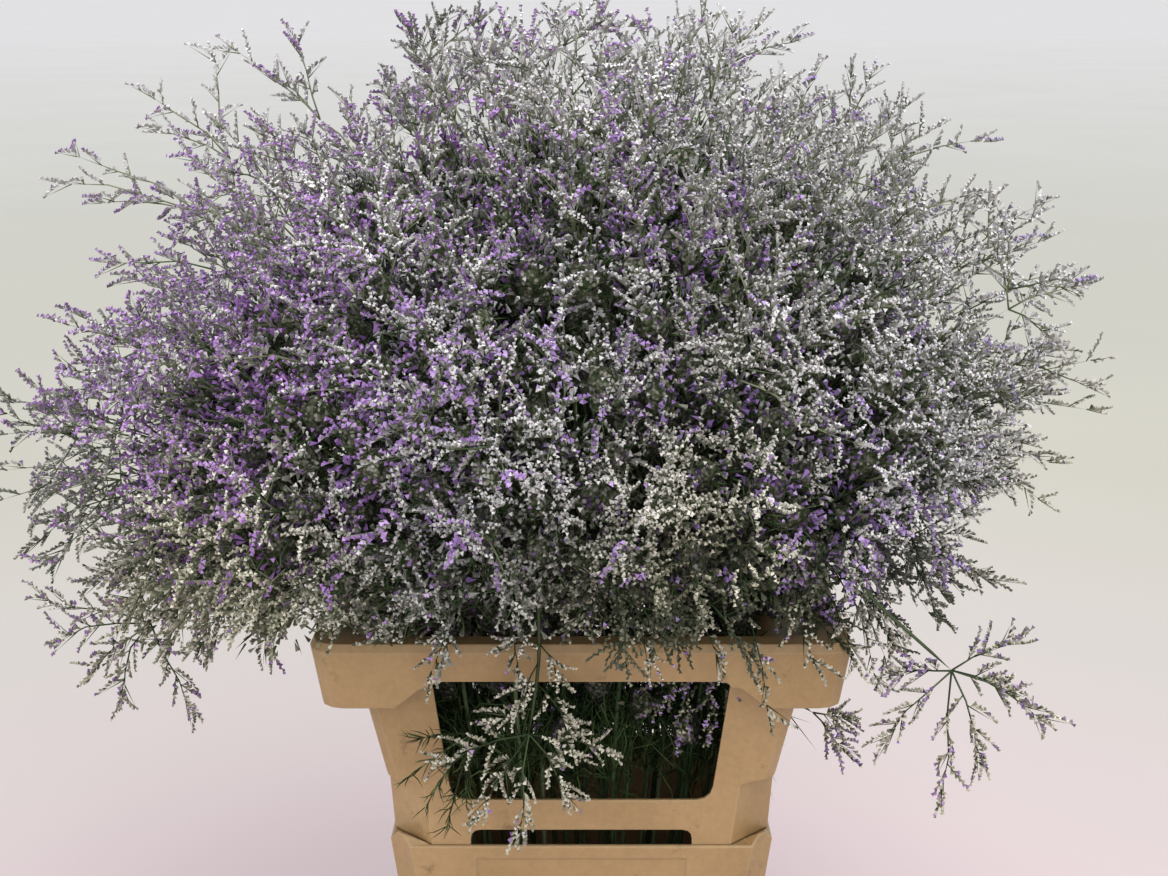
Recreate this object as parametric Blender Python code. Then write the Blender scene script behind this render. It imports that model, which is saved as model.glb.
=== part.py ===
"""Dried statice standing in a plastic flower bucket that wears an extension collar.

The origin is on the ground under the middle of the bucket. +X is to the right of
someone who faces the bucket's long side, +Y is away from them and +Z is up.
"""

import math
import random
from types import SimpleNamespace

import bmesh
import bpy
from mathutils import Matrix, Vector

# Container: half widths along X and Y, and heights
WALL = 0.0035
CORNER_STEPS = 3
BUCKET_FOOT = (0.116, 0.080)
BUCKET_RIM = (0.148, 0.1105)
BUCKET_HEIGHT = 0.299
BUCKET_EAR = 0.011
BUCKET_FLOOR = 0.004
BUCKET_BAND = 0.03
PANEL_HALF_WIDTH = 0.081
PANEL_DEPTH = 0.0014
PANEL_Z = (0.045, 0.288)
COLLAR_WALL = 0.003
COLLAR_FOOT_Z = 0.270
COLLAR_STEP_Z = 0.351
SKIRT_Z = 0.425
COLLAR_TOP_Z = 0.476
SLOT_HALF_WIDTH = 0.085
SLOT_Z = (0.286, 0.312)
WINDOW_Z = (0.337, 0.447)
WINDOW_HALF_WIDTH = (0.099, 0.113)
NOTCH_Z = 0.442
NOTCH_HALF_WIDTH = (0.149, 0.117)
GRIP_Z = (0.368, 0.410)
GRIP_HALF_WIDTH = 0.048
CUT_FAR = 0.25
FIT_GAP = 0.0003

# Flowers: how the stems fan out of the mouth, and the outside of the mass
SEED = 7
SPRAYS = 29
GOLDEN_ANGLE = math.radians(137.5)
STEM_FOOT_HALF = (0.080, 0.052)
STEM_MOUTH_HALF = (0.146, 0.098)
MASS_MIDDLE = Vector((-0.012, 0.0, 0.655))
MASS_LEFT = 0.425
MASS_RIGHT = 0.395
MASS_DEPTH = 0.325
MASS_UP = 0.262
MASS_DOWN = 0.31
MASS_SQUARENESS = 2.5
FALL_LEFT = 136
FALL_RIGHT = 128
FALL_FRONT = 118
FALL_BACK = 118
CELL_MARGIN = 0.016

# Sprays: shares of the way from the floor (0) through the mouth (1) to the outside (2)
CORE_SHARE = 1.41
CORE_HALF = 0.37
CORE_WIDTH = 0.64
CORE_ROUGHNESS = 0.20
CORE_TUFT = 0.018
MOUTH_SHARE = 1.05
LEAF_SHARE = 0.86
OUTER_SEAT = 0.8
BRANCHES = 8
TUFTED_BRANCHES = 6
LOW_SPIKES = 3
LENGTHS = (0.93, 1.05)

# Twigs and florets: radii and lengths
STEM_RADIUS = 0.0024
BRANCH_RADIUS = 0.0016
SPIKE_RADIUS = 0.0034
FLORET_HEIGHT = 0.0115

# Strays: loose stems, with the spray they leave, the places they pass and the tips of their spikes
STRAYS = (
    {  # hangs over the front window
        "spray": 29,
        "path": [(-0.030, -0.178, 0.505), (-0.030, -0.164, 0.466), (-0.038, -0.161, 0.412)],
        "tips": [
            (-0.098, -0.158, 0.388),
            (-0.072, -0.160, 0.350),
            (-0.045, -0.162, 0.334),
            (-0.010, -0.160, 0.362),
            (0.018, -0.160, 0.398),
        ],
    },
    {  # hangs past the right front corner
        "spray": 27,
        "path": [(0.207, -0.158, 0.515), (0.268, -0.158, 0.460)],
        "tips": [
            (0.313, -0.150, 0.478),
            (0.333, -0.162, 0.424),
            (0.290, -0.158, 0.392),
            (0.264, -0.160, 0.366),
            (0.222, -0.170, 0.412),
        ],
    },
)

COLORS = {
    "cream_plastic": (0.55, 0.36, 0.19, 1),
    "flower": (0.36, 0.30, 0.42, 1),
}


def clear_scene():
    for item in list(bpy.data.objects):
        bpy.data.objects.remove(item)


def material(name):
    found = bpy.data.materials.get(name)
    if found:
        return found
    made = bpy.data.materials.new(name)
    made.use_nodes = True
    shader = made.node_tree.nodes["Principled BSDF"]
    shader.inputs["Base Color"].default_value = COLORS[name]
    shader.inputs["Roughness"].default_value = 0.5 if name == "cream_plastic" else 0.9
    return made


def collection(name):
    made = bpy.data.collections.new(name)
    bpy.context.scene.collection.children.link(made)
    return made


def mesh_object(name, points, faces, home, paint=None):
    mesh = bpy.data.meshes.new(name)
    mesh.from_pydata([tuple(p) for p in points], [], faces)
    mesh.validate()
    made = bpy.data.objects.new(name, mesh)
    home.objects.link(made)
    if paint:
        mesh.materials.append(material(paint))
    return made


# Container

def outline(half, corner, cut):
    """Points round a rectangle whose corners are round at cut 0 and straight at cut 1."""
    points = []
    for quarter in range(4):
        sign_x = 1 if quarter in (0, 3) else -1
        sign_y = 1 if quarter in (0, 1) else -1
        centre = Vector((sign_x * (half[0] - corner), sign_y * (half[1] - corner)))
        first = Matrix.Rotation(math.radians(90 * quarter), 2) @ Vector((corner, 0))
        last = Matrix.Rotation(math.radians(90 * quarter + 90), 2) @ Vector((corner, 0))
        for step in range(CORNER_STEPS + 1):
            share = step / CORNER_STEPS
            turn = math.radians(90 * (quarter + share))
            arc = Vector((math.cos(turn), math.sin(turn))) * corner
            points.append((centre + arc.lerp(first.lerp(last, share), cut), share))
    return points


def loft(name, levels, home, closed_ring):
    """Joins one outline per level: (z, half widths, corner, cut, lift of the corners)."""
    points, faces = [], []
    around = 4 * (CORNER_STEPS + 1)
    for z, half, corner, cut, lift in levels:
        for place, share in outline(half, corner, cut):
            rise = lift * (1 - abs(2 * share - 1))
            points.append((place.x, place.y, z + rise))
    rows = len(levels) if closed_ring else len(levels) - 1
    for row in range(rows):
        below, above = row * around, (row + 1) % len(levels) * around
        for i in range(around):
            j = (i + 1) % around
            faces.append((below + i, below + j, above + j, above + i))
    if not closed_ring:
        faces.append(tuple(reversed(range(around))))
        top = (len(levels) - 1) * around
        faces.append(tuple(range(top, top + around)))
    return mesh_object(name, points, faces, home, "cream_plastic")


def inset(half, by):
    return (half[0] - by, half[1] - by)


def between(low, high, share):
    return tuple(a + (b - a) * share for a, b in zip(low, high))


def bucket_half(z):
    """The bucket's outside half widths at a height."""
    return between(BUCKET_FOOT, BUCKET_RIM, (z - BUCKET_FLOOR) / (BUCKET_HEIGHT - BUCKET_FLOOR))


def make_bucket(home, cutters):
    band = BUCKET_HEIGHT - BUCKET_BAND
    levels = [
        (0.0, inset(BUCKET_FOOT, 0.003), 0.022, 0.0, 0),
        (BUCKET_FLOOR, BUCKET_FOOT, 0.024, 0.2, 0),
        (band, bucket_half(band), 0.018, 1.0, 0),
        (BUCKET_HEIGHT - 0.001, BUCKET_RIM, 0.016, 1.0, BUCKET_EAR),
        (BUCKET_HEIGHT, inset(BUCKET_RIM, 0.001), 0.016, 1.0, BUCKET_EAR),
        (BUCKET_HEIGHT, inset(BUCKET_RIM, WALL), 0.028, 1.0, 0),
        (band, inset(bucket_half(band), WALL), 0.026, 1.0, 0),
        (BUCKET_FLOOR, inset(BUCKET_FOOT, WALL), 0.022, 0.2, 0),
    ]
    bucket = loft("bucket", levels, home, closed_ring=False)
    for facing in (0, 180):
        low, high = PANEL_Z
        shape = [
            (side * PANEL_HALF_WIDTH, -bucket_half(z)[1] + depth, z)
            for z in (low, high)
            for side, depth in ((-1, PANEL_DEPTH), (1, PANEL_DEPTH), (1, -0.02), (-1, -0.02))
        ]
        faces = [(0, 1, 2, 3), (4, 5, 6, 7)]
        faces += [(i, (i + 1) % 4, (i + 1) % 4 + 4, i + 4) for i in range(4)]
        cut_away(bucket, cutters, facing, shape, faces)
    return bucket


def make_collar(home, cutters):
    def wall(z, half, corner, cut):
        return (z, half, corner, cut, 0)

    outside = [
        wall(COLLAR_FOOT_Z, (0.1372, 0.0995), 0.026, 1.0),
        wall(BUCKET_HEIGHT, (0.1425, 0.1050), 0.029, 1.0),
        wall(BUCKET_HEIGHT + FIT_GAP, (0.1460, 0.1085), 0.0315, 1.0),
        wall(COLLAR_STEP_Z - 0.002, (0.1490, 0.1108), 0.0285, 1.0),
        wall(COLLAR_STEP_Z + 0.003, (0.1502, 0.1120), 0.020, 0.0),
        wall(SKIRT_Z, (0.1660, 0.1190), 0.020, 0.0),
        wall(0.4705, (0.1765, 0.1265), 0.022, 0.0),
    ]
    skirt = [
        wall(0.4705, (0.1965, 0.1465), 0.018, 0.0),
        wall(SKIRT_Z, (0.1890, 0.1400), 0.016, 0.0),
        wall(SKIRT_Z, (0.1925, 0.1435), 0.018, 0.0),
        wall(0.4700, (0.2000, 0.1500), 0.021, 0.0),
        wall(COLLAR_TOP_Z, (0.1970, 0.1470), 0.019, 0.0),
        wall(COLLAR_TOP_Z, (0.1795, 0.1295), 0.020, 0.0),
    ]
    inside = [
        wall(z + (COLLAR_WALL if z > COLLAR_FOOT_Z else 0), inset(half, COLLAR_WALL), corner, cut)
        for z, half, corner, cut, _ in reversed(outside)
    ]
    collar = loft("collar", outside + skirt + inside, home, closed_ring=True)
    for facing in (0, 180):
        cut_opening(collar, cutters, facing, WINDOW_Z, WINDOW_HALF_WIDTH, 0.012, 0.09)
        slot = (SLOT_HALF_WIDTH, SLOT_HALF_WIDTH)
        cut_opening(collar, cutters, facing, SLOT_Z, slot, 0.008, 0.09)
        notch = (SKIRT_Z - 0.01, NOTCH_Z)
        cut_opening(collar, cutters, facing, notch, NOTCH_HALF_WIDTH, 0.004, 0.131)
        grip = (GRIP_HALF_WIDTH, GRIP_HALF_WIDTH)
        cut_opening(collar, cutters, facing + 90, GRIP_Z, grip, 0.012, 0.13)
    return collar


def cut_opening(target, cutters, facing, heights, half_widths, radius, start):
    """Cuts a trapezoid with round corners through the wall that faces this way."""
    low, high = heights
    corners = [
        Vector((-half_widths[0], low)),
        Vector((half_widths[0], low)),
        Vector((half_widths[1], high)),
        Vector((-half_widths[1], high)),
    ]
    shape = []
    for i, corner in enumerate(corners):
        before = (corners[i - 1] - corner).normalized() * radius
        after = (corners[(i + 1) % 4] - corner).normalized() * radius
        for share in (0.0, 0.33, 0.67, 1.0):
            shape.append(corner + (1 - share) ** 2 * before + share ** 2 * after)
    count = len(shape)
    points = [(p.x, -start, p.y) for p in shape] + [(p.x, -CUT_FAR, p.y) for p in shape]
    faces = [tuple(range(count)), tuple(range(count, 2 * count))]
    faces += [(i, i + count, (i + 1) % count + count, (i + 1) % count) for i in range(count)]
    cut_away(target, cutters, facing, points, faces)


def cut_away(target, cutters, facing, points, faces):
    """Subtracts a shape made for the front (-Y), turned by so many degrees about Z."""
    turn = Matrix.Rotation(math.radians(facing), 3, "Z")
    points = [turn @ Vector(p) for p in points]
    cutter = mesh_object(f"cutter_{len(cutters.objects)}", points, faces, cutters)
    turned_out(cutter)
    cutter.hide_render = True
    cutter.display_type = "WIRE"
    boolean = target.modifiers.new("opening", "BOOLEAN")
    boolean.operation = "DIFFERENCE"
    boolean.object = cutter


def turned_out(item):
    shape = bmesh.new()
    shape.from_mesh(item.data)
    bmesh.ops.recalc_face_normals(shape, faces=shape.faces)
    shape.to_mesh(item.data)
    shape.free()


# Flow of the stems: a spot on the unit disc and a share of the way up give a place

def squared(spot):
    """Moves a spot of the unit disc to the rounded square that the container has."""
    if spot.length < 1e-9:
        return spot.copy()
    way = spot.normalized()
    return spot * (abs(way.x) ** 4 + abs(way.y) ** 4) ** -0.25


def in_pot(spot, share):
    place = squared(spot)
    half_x, half_y = between(STEM_FOOT_HALF, STEM_MOUTH_HALF, share)
    low = BUCKET_FLOOR + FIT_GAP
    return Vector((place.x * half_x, place.y * half_y, low + share * (COLLAR_TOP_Z - 0.016 - low)))


def on_mass(spot):
    """The outside of the mass where the stem at this spot ends."""
    radius = spot.length
    turn = math.atan2(spot.y, spot.x)
    side = FALL_RIGHT if spot.x > 0 else FALL_LEFT
    end = FALL_BACK if spot.y > 0 else FALL_FRONT
    fall = side * math.cos(turn) ** 2 + end * math.sin(turn) ** 2
    rise = max(1 - (1 - math.cos(math.radians(fall))) * radius ** 2, -0.98)
    flat = math.sqrt(1 - rise ** 2)
    way = Vector((flat * math.cos(turn), flat * math.sin(turn), rise))
    size = sum(abs(c) ** MASS_SQUARENESS for c in way) ** (-1 / MASS_SQUARENESS)
    half = Vector((
        MASS_RIGHT if way.x > 0 else MASS_LEFT,
        MASS_DEPTH,
        MASS_UP if way.z > 0 else MASS_DOWN,
    ))
    return MASS_MIDDLE + size * way * half


def flow(spot, share):
    """From the bucket's floor at 0, through the mouth at 1, to the mass's outside at 2."""
    if share <= 1:
        return in_pot(spot, share)
    mouth, end = in_pot(spot, 1), on_mass(spot)
    weight = min(spot.length_squared, 1.1)
    over = (end - mouth) * 0.2
    over.z = 0.5 * (end.z - mouth.z) * (1 - weight) + 0.17 * weight
    knee = mouth + over
    t = share - 1
    return mouth * (1 - t) ** 2 + knee * 2 * t * (1 - t) + end * t ** 2


def spots():
    """Seats of the sprays, spread evenly over the unit disc."""
    return [
        Vector((math.cos(i * GOLDEN_ANGLE), math.sin(i * GOLDEN_ANGLE))) * math.sqrt((i + 0.5) / SPRAYS)
        for i in range(SPRAYS)
    ]


def reach(seats, index, turn):
    """How far a spray may spread on the disc in one direction before its neighbour's share."""
    seat = seats[index]
    way = Vector((math.cos(turn), math.sin(turn)))
    room = 0.34
    for other in seats:
        apart = other - seat
        toward = way.dot(apart)
        if toward > 1e-9:
            room = min(room, 0.5 * apart.length_squared / toward)
    along = seat.dot(way)
    room = min(room, -along + math.sqrt(along ** 2 + 1.05 - seat.length_squared))
    return max(room - CELL_MARGIN, 0.02)


# Twigs: one closed skin whose faces are raised into tubes, forks and florets

class Skin:
    def __init__(self, points, faces):
        self.points = list(points)
        self.faces = dict(enumerate(faces))
        self.made = len(faces)

    def add(self, corners):
        self.faces[self.made] = corners
        self.made += 1
        return self.made - 1

    def corners(self, face):
        return [self.points[i] for i in self.faces[face]]

    def middle(self, face):
        return sum(self.corners(face), Vector()) / 3

    def normal(self, face):
        a, b, c = self.corners(face)
        return (b - a).cross(c - a).normalized()

    def tube(self, face, end, along, radius):
        """Draws a face out to a small triangle round the point end. Gives its sides and its end."""
        start = self.middle(face)
        first = along.orthogonal().normalized()
        second = along.cross(first).normalized()
        turn = complex(0, 0)
        for k, corner in enumerate(self.corners(face)):
            spoke = corner - start
            turn += complex(spoke.dot(first), spoke.dot(second)) * complex(
                math.cos(k * math.tau / 3), -math.sin(k * math.tau / 3)
            )
        start_angle = math.atan2(turn.imag, turn.real)
        old = self.faces.pop(face)
        new = []
        for k in range(3):
            angle = start_angle + k * math.tau / 3
            new.append(len(self.points))
            self.points.append(end + radius * (first * math.cos(angle) + second * math.sin(angle)))
        sides = []
        for k in range(3):
            n = (k + 1) % 3
            sides.append(self.add((old[k], old[n], new[n])))
            sides.append(self.add((old[k], new[n], new[k])))
        return sides, self.add(tuple(new))

    def point(self, face, tip):
        """Raises a face to a point. Gives the three faces round it."""
        a, b, c = self.faces.pop(face)
        self.points.append(tip)
        top = len(self.points) - 1
        return [self.add((a, b, top)), self.add((b, c, top)), self.add((c, a, top))]


def icosahedron():
    """Points and faces on the unit sphere, with one face flat at the bottom."""
    ball = bmesh.new()
    bmesh.ops.create_icosphere(ball, subdivisions=1, radius=1)
    ball.faces.ensure_lookup_table()
    turn = ball.faces[0].normal.rotation_difference(Vector((0, 0, -1)))
    points = [turn @ v.co for v in ball.verts]
    faces = [tuple(v.index for v in f.verts) for f in ball.faces]
    ball.free()
    return points, faces


def make_spray(index, seats, home):
    """One leafy stem: its plan, then the skin grown over the plan."""
    plan = plan_spray(index, seats)
    skin = Skin(plan.core, plan.faces)
    for face, tip in plan.tufts:
        skin.point(face, tip)
    for face, tip in plan.low_spikes:
        base = skin.middle(face)
        _, end = skin.tube(face, base.lerp(tip, 0.3), tip - base, BRANCH_RADIUS)
        grow_spike(skin, end, tip)
    for k, (face, fork, tips) in enumerate(plan.branches):
        tufted = k >= BRANCHES - TUFTED_BRANCHES
        grow_branch(skin, face, fork, tips, tufted)
    grow_stem(skin, plan)
    for stray in STRAYS:
        if stray["spray"] == index + 1:
            grow_stray(skin, stray)
    name = f"spray_{index + 1:02d}"
    return mesh_object(name, skin.points, list(skin.faces.values()), home, "flower")


def plan_spray(index, seats):
    """Where this spray's core, forks and tips lie. Each stays in the spray's own part of the mass."""
    rng = random.Random(SEED + index)
    seat = seats[index]
    length = rng.uniform(*LENGTHS)

    def place(turn, out, share):
        """A place by its heading, how far out it is (0 at the stem, 1 at the edge) and its share."""
        spread = reach(seats, index, turn) * out
        return flow(seat + Vector((math.cos(turn), math.sin(turn))) * spread, share)

    plan = SimpleNamespace(index=index, seat=seat, core=[], branches=[], tufts=[], low_spikes=[])
    ball, plan.faces = icosahedron()
    for p in ball:
        rough = 1 + rng.uniform(-CORE_ROUGHNESS, CORE_ROUGHNESS)
        out = CORE_WIDTH * rough * math.hypot(p.x, p.y)
        plan.core.append(place(math.atan2(p.y, p.x), out, CORE_SHARE + CORE_HALF * rough * p.z))

    headings = [sum((ball[i] for i in corners), Vector()) / 3 for corners in plan.faces]
    upward = sorted(range(len(headings)), key=lambda f: -headings[f].z)
    plan.foot_face = upward[-1]
    for k, f in enumerate(upward[:BRANCHES]):
        plan.branches.append((f, *plan_branch(headings[f], k % 3 == 1, length, place, rng)))
    sides = sorted(upward[BRANCHES:-1], key=lambda f: -headings[f].xy.dot(seat))
    for k, f in enumerate(sides):
        turn = math.atan2(headings[f].y, headings[f].x)
        if k < LOW_SPIKES:
            tip = place(turn, 0.86, CORE_SHARE + rng.uniform(-0.20, 0.02))
            plan.low_spikes.append((f, tip))
        else:
            share = CORE_SHARE + CORE_HALF * headings[f].z
            plan.tufts.append((f, place(turn, rng.uniform(0.66, 0.82), share)))

    spin = rng.uniform(0, math.tau)
    plan.mouth_tips = [
        place(spin + k * math.tau / 3, 0.76, MOUTH_SHARE + rng.uniform(0.05, 0.11)) for k in range(3)
    ]
    plan.leaf_tips = [
        place(spin + k * math.tau / 6 + rng.uniform(-0.3, 0.3), 0.84, LEAF_SHARE + rng.uniform(-0.02, 0.05))
        for k in range(6)
    ]
    return plan


def plan_branch(heading, short, length, place, rng):
    """A branch's fork and the tips of its three spikes. Short ones cover the core's flank."""
    central = heading.z > 0.7
    turn = math.atan2(heading.y, heading.x) + rng.uniform(-0.25, 0.25)
    out = 0.08 if central else rng.uniform(0.64, 0.76) if short else rng.uniform(0.42, 0.68)
    share = 1 + length * (rng.uniform(0.62, 0.72) if short else rng.uniform(0.78, 0.92))
    tips = []
    for k in (-1, 0, 1):
        swing = turn + k * (2.1 if central else 0.55) + rng.uniform(-0.15, 0.15)
        spread = rng.uniform(0.30, 0.42) if central else out + rng.uniform(0.02, 0.18)
        rise = 0.11 if k == 0 else rng.uniform(0.03, 0.09)
        tips.append(place(swing, spread, share + rise))
    return place(turn, out, share), tips


def grow_branch(skin, face, fork, tips, tufted):
    """A side branch that forks into three spikes of florets, with a tuft on its foot if wanted."""
    base = skin.middle(face)
    along = (fork - base).normalized()
    sides, face = skin.tube(face, base + along * CORE_TUFT, along, BRANCH_RADIUS * 1.2)
    if tufted:
        lowest = min(sides[::2], key=lambda f: skin.middle(f).z)
        tip = skin.middle(lowest) + skin.normal(lowest) * FLORET_HEIGHT + along * CORE_TUFT
        skin.point(lowest, tip)
    _, face = skin.tube(face, fork, along, BRANCH_RADIUS)
    ends = skin.point(face, fork + along * 0.003)
    for end, tip in matched(skin, ends, fork, tips):
        grow_spike(skin, end, tip)


def matched(skin, faces, base, tips):
    """Gives each tip the free face that looks most toward it."""
    free = list(faces)
    pairs = []
    for tip in tips:
        face = max(free, key=lambda f: skin.normal(f).dot((tip - base).normalized()))
        free.remove(face)
        pairs.append((face, tip))
    return pairs


def grow_spike(skin, face, tip):
    """An arched spike with florets raised along it."""
    base = skin.middle(face)
    way = tip - base
    side = way.cross(Vector((0, 0, 1))).normalized()
    arch = side.cross(way).normalized() * way.length * 0.12
    middle = base + way * 0.5 + arch
    sides, face = skin.tube(face, middle, way.normalized(), SPIKE_RADIUS)
    sides += skin.point(face, tip)
    pick = len(skin.points) % 3
    for side in (sides[1 + 2 * pick], sides[6 + pick]):
        lean = way.normalized() * 0.003
        skin.point(side, skin.middle(side) + skin.normal(side) * FLORET_HEIGHT + lean)


def grow_stray(skin, stray):
    """A loose stem from the nearest fitting face of the spray to a hub of spikes."""
    path = [Vector(p) for p in stray["path"]]

    def fit(face):
        toward = path[0] - skin.middle(face)
        return skin.normal(face).dot(toward.normalized()) / (toward.length + 0.02)

    face = max(skin.faces, key=fit)
    base = skin.middle(face)
    along = (path[0] - base).normalized()
    _, face = skin.tube(face, base + along * 0.004, along, BRANCH_RADIUS * 1.2)
    for point in path:
        along = (point - base).normalized()
        _, face = skin.tube(face, point, along, BRANCH_RADIUS)
        base = point
    sides, face = skin.tube(face, base + along * 0.004, along, BRANCH_RADIUS)
    ends = sides[::2] + skin.point(face, base + along * 0.007)
    for end, tip in matched(skin, ends, base, [Vector(t) for t in stray["tips"]]):
        grow_spike(skin, end, tip)


def grow_stem(skin, plan):
    """The bare stem down to the bucket's floor, with twigs at the mouth and leaves below it."""
    face, seat = plan.foot_face, plan.seat
    for share, tips in ((MOUTH_SHARE, plan.mouth_tips), (LEAF_SHARE, plan.leaf_tips)):
        place = flow(seat, share)
        along = (place - flow(seat, share + 0.02)).normalized()
        _, face = skin.tube(face, place - along * 0.005, along, STEM_RADIUS)
        sides, face = skin.tube(face, place, along, STEM_RADIUS)
        for side, tip in matched(skin, sides[::2] if len(tips) == 3 else sides, place, tips):
            if share > 1 and seat.length > OUTER_SEAT:
                grow_spike(skin, side, tip)
            else:
                skin.point(side, tip)
    skin.tube(face, flow(seat, 0), Vector((0, 0, -1)), STEM_RADIUS)


def main():
    clear_scene()
    home = collection("dried_statice")
    cutters = collection("cutters")
    make_bucket(home, cutters)
    make_collar(home, cutters)
    seats = spots()
    for index in range(SPRAYS):
        make_spray(index, seats, home)


main()
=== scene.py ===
"""Dresses the statice in its flower bucket: fine florets, twigs, leaves and worn plastic."""

import math
import random
from types import SimpleNamespace

import bmesh
import bpy
import numpy as np
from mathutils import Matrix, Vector


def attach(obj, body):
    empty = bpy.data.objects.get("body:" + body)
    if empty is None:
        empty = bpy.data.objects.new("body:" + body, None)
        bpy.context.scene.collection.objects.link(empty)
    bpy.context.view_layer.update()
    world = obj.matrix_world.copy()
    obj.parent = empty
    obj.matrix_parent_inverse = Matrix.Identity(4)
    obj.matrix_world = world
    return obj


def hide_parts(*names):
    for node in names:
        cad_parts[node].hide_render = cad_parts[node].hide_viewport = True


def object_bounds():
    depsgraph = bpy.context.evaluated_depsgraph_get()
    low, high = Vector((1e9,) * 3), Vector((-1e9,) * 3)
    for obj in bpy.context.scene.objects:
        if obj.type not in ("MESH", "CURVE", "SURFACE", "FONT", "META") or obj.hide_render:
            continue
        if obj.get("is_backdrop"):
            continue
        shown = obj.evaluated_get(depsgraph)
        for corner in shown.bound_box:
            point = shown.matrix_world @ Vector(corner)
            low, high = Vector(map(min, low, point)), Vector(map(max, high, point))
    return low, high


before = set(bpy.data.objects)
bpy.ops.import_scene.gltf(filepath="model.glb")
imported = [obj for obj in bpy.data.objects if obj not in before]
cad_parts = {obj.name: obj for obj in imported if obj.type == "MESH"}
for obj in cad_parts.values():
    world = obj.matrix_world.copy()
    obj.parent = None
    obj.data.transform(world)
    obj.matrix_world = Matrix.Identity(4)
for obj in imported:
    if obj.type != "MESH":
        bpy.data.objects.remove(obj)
cad_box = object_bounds()

# Flow of the stems: as in the part's source, but with the mass fitted closer to the photo

SEED = 7
SPRAYS = 29
GOLDEN_ANGLE = math.radians(137.5)
BUCKET_FLOOR = 0.004
COLLAR_TOP_Z = 0.476
MOUTH_BELOW_TOP = 0.016
FIT_GAP = 0.0003
STEM_FOOT_HALF = (0.080, 0.052)
STEM_MOUTH_HALF = (0.146, 0.098)
MASS_MIDDLE = Vector((-0.012, 0.0, 0.615))
MASS_LEFT = 0.425
MASS_RIGHT = 0.395
MASS_DEPTH = 0.325
MASS_UP = 0.315
MASS_DOWN = 0.262
MASS_SQUARENESS = 2.15
TUCK_RIGHT = 0.6
TUCK_LEFT_TOP = 0.19
TUCK_RIGHT_TOP = 0.23
SLANT = 0.07
FALL_LEFT = 130
FALL_RIGHT = 118
FALL_DEPTH = 118
WIDEST_REACH = 0.34
CELL_MARGIN = 0.016
CORE_SHARE = 1.41
MOUTH_SHARE = 1.05
LEAF_SHARE = 0.86
STEM_END_SHARE = 1.42
BRANCHES = 8
LOW_SPIKES = 3
LENGTHS = (0.93, 1.05)

# Radii along the stems, branches, twigs and blades

STEM_RADII = (0.0024, 0.0016)
BRANCH_RADII = (0.0012, 0.0008)
STRAY_RADII = (0.0018, 0.0013)
TWIG_RADII = (0.0010, 0.0009, 0.0007, 0.0004)
SHOOT_RADII = (0.0009, 0.0008, 0.0008, 0.0007, 0.0004)
SPIKELET_RADII = (0.00065, 0.0003)
SPIKE_RADIUS = 0.0008
SPIKE_END_RADIUS = 0.0005
BLADE_RADII = (0.0005, 0.0006, 0.0002)
NEEDLE_RADII = (0.0004, 0.0005, 0.0002)

# How many, and how often

MOST_FLORETS = 11
FEWEST_FLORETS = 4
FLORET_STEP = 0.0021
BRACT_CHANCE = 0.22
CANDIDATES = 9000
TWIGS = 26
BLADES_A_TIP = 20
NEEDLES_A_SHOOT = 26

# Spikes that cover the mass: (share, spacing, radii of their spots on the disc)

COVER_LAYERS = (
    (1.94, 0.036, (0.0, 1.02)),
    (1.80, 0.046, (0.0, 1.02)),
    (1.62, 0.030, (1.03, 1.09)),
)

# Clumps behind the spikes: (share, spacing, radius, small florets on each, radii of their spots)

CLUMP_LAYERS = (
    (1.75, 0.030, 0.018, 60, (0.0, 1.02)),
    (1.60, 0.036, 0.022, 40, (0.0, 1.02)),
    (1.40, 0.038, 0.024, 24, (0.0, 1.02)),
    (1.22, 0.034, 0.020, 20, (0.0, 1.02)),
    (1.10, 0.030, 0.016, 16, (0.0, 1.02)),
    (1.04, 0.026, 0.016, 16, (0.0, 1.02)),
    (0.95, 0.028, 0.015, 14, (0.0, 0.84)),
    (0.86, 0.032, 0.014, 12, (0.0, 0.84)),
    (1.07, 0.026, 0.015, 24, (1.04, 1.16)),
)

# Loose branches: the spray that each belongs to, its path and the tips of its spikes

WINDOW_SPRAY = 29
STRAYS = (
    {  # hangs over the front window
        "spray": WINDOW_SPRAY,
        "path": [(-0.03, -0.178, 0.505), (-0.03, -0.164, 0.466), (-0.038, -0.161, 0.412)],
        "tips": [
            (-0.098, -0.158, 0.388), (-0.072, -0.16, 0.35), (-0.045, -0.162, 0.334),
            (-0.01, -0.16, 0.362), (0.018, -0.16, 0.398),
        ],
    },
    {  # hangs past the right front corner
        "spray": 27,
        "path": [(0.207, -0.158, 0.515), (0.268, -0.158, 0.46)],
        "tips": [
            (0.313, -0.15, 0.478), (0.333, -0.162, 0.424), (0.29, -0.158, 0.392),
            (0.264, -0.16, 0.366), (0.222, -0.17, 0.412), (0.229, -0.16, 0.458),
            (0.311, -0.15, 0.44),
        ],
    },
    {  # hangs below the left side
        "spray": 23,
        "path": [(-0.262, -0.07, 0.56), (-0.3, -0.062, 0.505), (-0.334, -0.06, 0.462)],
        "tips": [
            (-0.414, -0.06, 0.481), (-0.405, -0.055, 0.446), (-0.379, -0.064, 0.424),
            (-0.357, -0.06, 0.404), (-0.308, -0.058, 0.39),
        ],
    },
    {  # pokes out of the right grip hole
        "spray": 22,
        "path": [(0.16, -0.03, 0.392), (0.184, -0.04, 0.38)],
        "tips": [(0.212, -0.035, 0.372), (0.206, -0.052, 0.354)],
    },
)

# Short spikes that hang over the rim: (start, tip)

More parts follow.
